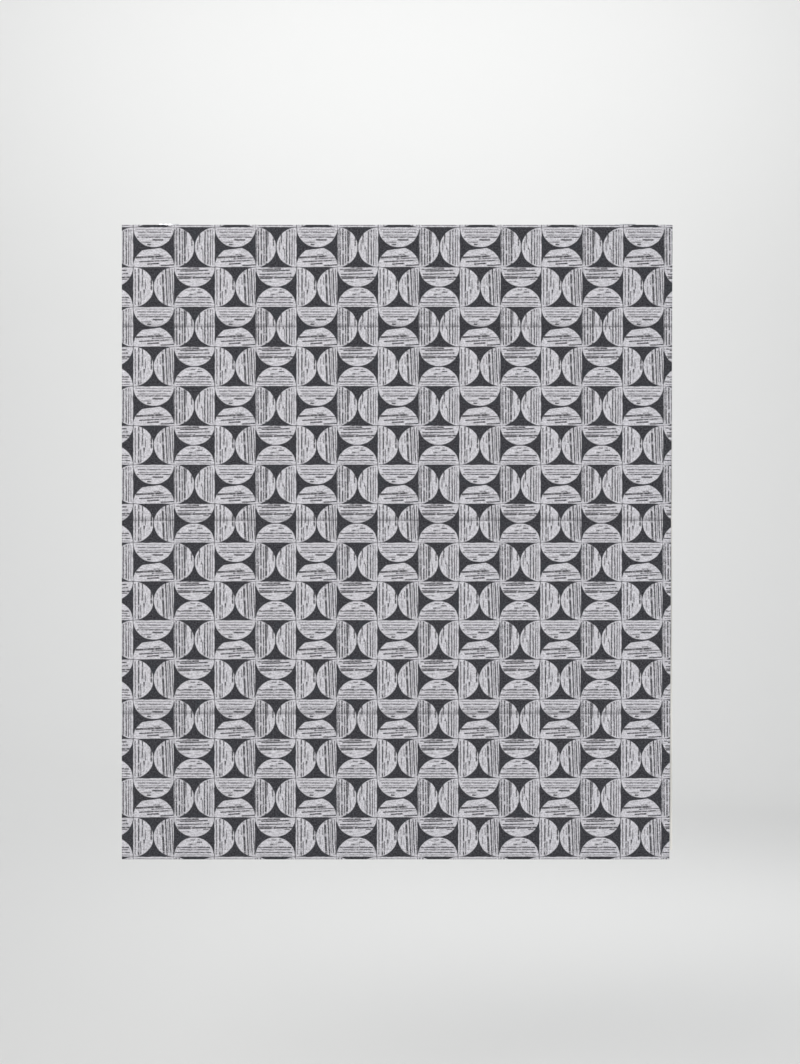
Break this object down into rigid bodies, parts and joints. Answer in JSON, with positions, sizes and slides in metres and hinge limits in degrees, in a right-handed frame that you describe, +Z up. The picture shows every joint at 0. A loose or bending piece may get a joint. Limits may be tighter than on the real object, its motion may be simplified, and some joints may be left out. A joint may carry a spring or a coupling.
{
  "type": "roman blind",
  "caption": "Flat cordless roman blind: a lined printed cloth hung from a headrail, folding at rod seams as spring-driven spools wind up cords behind it.",
  "frame": {"origin": "in the plane the brackets are screwed up against, midway between the blind's sides, at the headrail's front face", "axes": "+Z up, +X to the right seen from the room, -Y towards the room"},
  "size_m": [0.826, 0.0523, 0.954],
  "materials": {
    "printed_cloth": "woven cotton and polyester, printed pale grey on charcoal",
    "lining_cloth": "plain woven lining",
    "tape": "hook and loop tape",
    "rail_aluminium": "white powder coat",
    "steel": "zinc plated",
    "white_plastic": "moulded, matt",
    "clear_plastic": "moulded, slightly glossy",
    "cord": "braided polyester",
    "fibreglass": "pulled glass-fibre rod"
  },
  "bodies": {
    "headrail_set": {"headrail": "rail_aluminium", "rail_end_cap_left": "white_plastic", "rail_end_cap_right": "white_plastic", "bracket_left": "steel", "bracket_right": "steel", "hook_tape": "tape", "loop_tape": "tape", "heading_cloth": "printed_cloth", "heading_lining": "lining_cloth", "spool_cradle_left": "white_plastic", "spool_cradle_centre": "white_plastic", "spool_cradle_right": "white_plastic", "spring_housing": "white_plastic", "spring_anchor": "white_plastic", "lift_spring": "steel", "brake_case": "white_plastic", "lift_cord_left": "cord", "lift_cord_centre": "cord", "lift_cord_right": "cord"},
    "latch_left_set": {"latch_left": "steel"},
    "latch_right_set": {"latch_right": "steel"},
    "shaft_set": {"lift_shaft": "steel", "cord_spool_left": "white_plastic", "cord_spool_centre": "white_plastic", "cord_spool_right": "white_plastic", "spring_hub": "white_plastic", "brake_hub": "white_plastic"},
    "panel_1_upper": {"panel_1_upper_cloth": "printed_cloth", "panel_1_upper_lining": "lining_cloth"},
    "panel_1_lower": {"panel_1_lower_cloth": "printed_cloth", "panel_1_lower_lining": "lining_cloth"},
    "rod_1_set": {"rod_1": "fibreglass", "rod_pocket_1": "lining_cloth", "cord_ring_1_left": "clear_plastic", "cord_ring_1_centre": "clear_plastic", "cord_ring_1_right": "clear_plastic"},
    "panel_2_upper": {"panel_2_upper_cloth": "printed_cloth", "panel_2_upper_lining": "lining_cloth"},
    "panel_2_lower": {"panel_2_lower_cloth": "printed_cloth", "panel_2_lower_lining": "lining_cloth"},
    "rod_2_set": {"rod_2": "fibreglass", "rod_pocket_2": "lining_cloth", "cord_ring_2_left": "clear_plastic", "cord_ring_2_centre": "clear_plastic", "cord_ring_2_right": "clear_plastic"},
    "panel_3_upper": {"panel_3_upper_cloth": "printed_cloth", "panel_3_upper_lining": "lining_cloth"},
    "panel_3_lower": {"panel_3_lower_cloth": "printed_cloth", "panel_3_lower_lining": "lining_cloth"},
    "rod_3_set": {"rod_3": "fibreglass", "rod_pocket_3": "lining_cloth", "cord_adjuster_left": "clear_plastic", "cord_adjuster_centre": "clear_plastic", "cord_adjuster_right": "clear_plastic", "skirt_cloth": "printed_cloth", "skirt_lining": "lining_cloth", "bottom_bar": "rail_aluminium", "bar_cap_left": "white_plastic", "bar_cap_right": "white_plastic"}
  },
  "joints": [
    {"name": "latch_left_turn", "type": "hinge", "parent": "headrail_set", "child": "latch_left_set", "pos_m": [-0.343, 0.023, -0.0053], "axis": [0, 0, -1], "range_deg": [0, 75]},
    {"name": "latch_right_turn", "type": "hinge", "parent": "headrail_set", "child": "latch_right_set", "pos_m": [0.343, 0.023, -0.0053], "axis": [0, 0, -1], "range_deg": [0, 75]},
    {"name": "panel_1_fold", "type": "hinge", "parent": "headrail_set", "child": "panel_1_upper", "pos_m": [0, -0.0047, -0.0343], "axis": [-1, 0, 0], "range_deg": [0, 84], "deforming": ["lift_cord_left", "lift_cord_centre", "lift_cord_right"]},
    {"name": "panel_1_crease", "type": "hinge", "parent": "panel_1_upper", "child": "panel_1_lower", "pos_m": [0, -0.0029, -0.09415], "axis": [-1, 0, 0], "range_deg": [-168, 0]},
    {"name": "rod_1_hang", "type": "hinge", "parent": "panel_1_lower", "child": "rod_1_set", "pos_m": [0, -0.0047, -0.154], "axis": [-1, 0, 0], "range_deg": [0, 84]},
    {"name": "panel_2_fold", "type": "hinge", "parent": "panel_1_lower", "child": "panel_2_upper", "pos_m": [0, -0.0047, -0.154], "axis": [-1, 0, 0], "range_deg": [0, 168]},
    {"name": "panel_2_crease", "type": "hinge", "parent": "panel_2_upper", "child": "panel_2_lower", "pos_m": [0, -0.0029, -0.2995], "axis": [-1, 0, 0], "range_deg": [-168, 0]},
    {"name": "rod_2_hang", "type": "hinge", "parent": "panel_2_lower", "child": "rod_2_set", "pos_m": [0, -0.0047, -0.445], "axis": [-1, 0, 0], "range_deg": [0, 84]},
    {"name": "panel_3_fold", "type": "hinge", "parent": "panel_2_lower", "child": "panel_3_upper", "pos_m": [0, -0.0047, -0.445], "axis": [-1, 0, 0], "range_deg": [0, 168]},
    {"name": "panel_3_crease", "type": "hinge", "parent": "panel_3_upper", "child": "panel_3_lower", "pos_m": [0, -0.0029, -0.5905], "axis": [-1, 0, 0], "range_deg": [-168, 0]},
    {"name": "rod_3_hang", "type": "hinge", "parent": "panel_3_lower", "child": "rod_3_set", "pos_m": [0, -0.0047, -0.736], "axis": [-1, 0, 0], "range_deg": [0, 84]},
    {"name": "shaft_turn", "type": "hinge", "parent": "headrail_set", "child": "shaft_set", "pos_m": [0, 0.0188, -0.018], "axis": [-1, 0, 0], "range_deg": [0, 3218], "deforming": ["lift_spring"]}
  ],
  "couplings": [
    {"joint": "panel_1_crease", "follows": "panel_1_fold", "ratio": -2},
    {"joint": "rod_1_hang", "follows": "panel_1_fold", "ratio": 1},
    {"joint": "panel_2_fold", "follows": "panel_1_fold", "ratio": 2},
    {"joint": "panel_2_crease", "follows": "panel_1_fold", "ratio": -2},
    {"joint": "rod_2_hang", "follows": "panel_1_fold", "ratio": 1},
    {"joint": "panel_3_fold", "follows": "panel_1_fold", "ratio": 2},
    {"joint": "panel_3_crease", "follows": "panel_1_fold", "ratio": -2},
    {"joint": "rod_3_hang", "follows": "panel_1_fold", "ratio": 1},
    {"joint": "shaft_turn", "follows": "panel_1_fold", "ratio": 38.297}
  ]
}
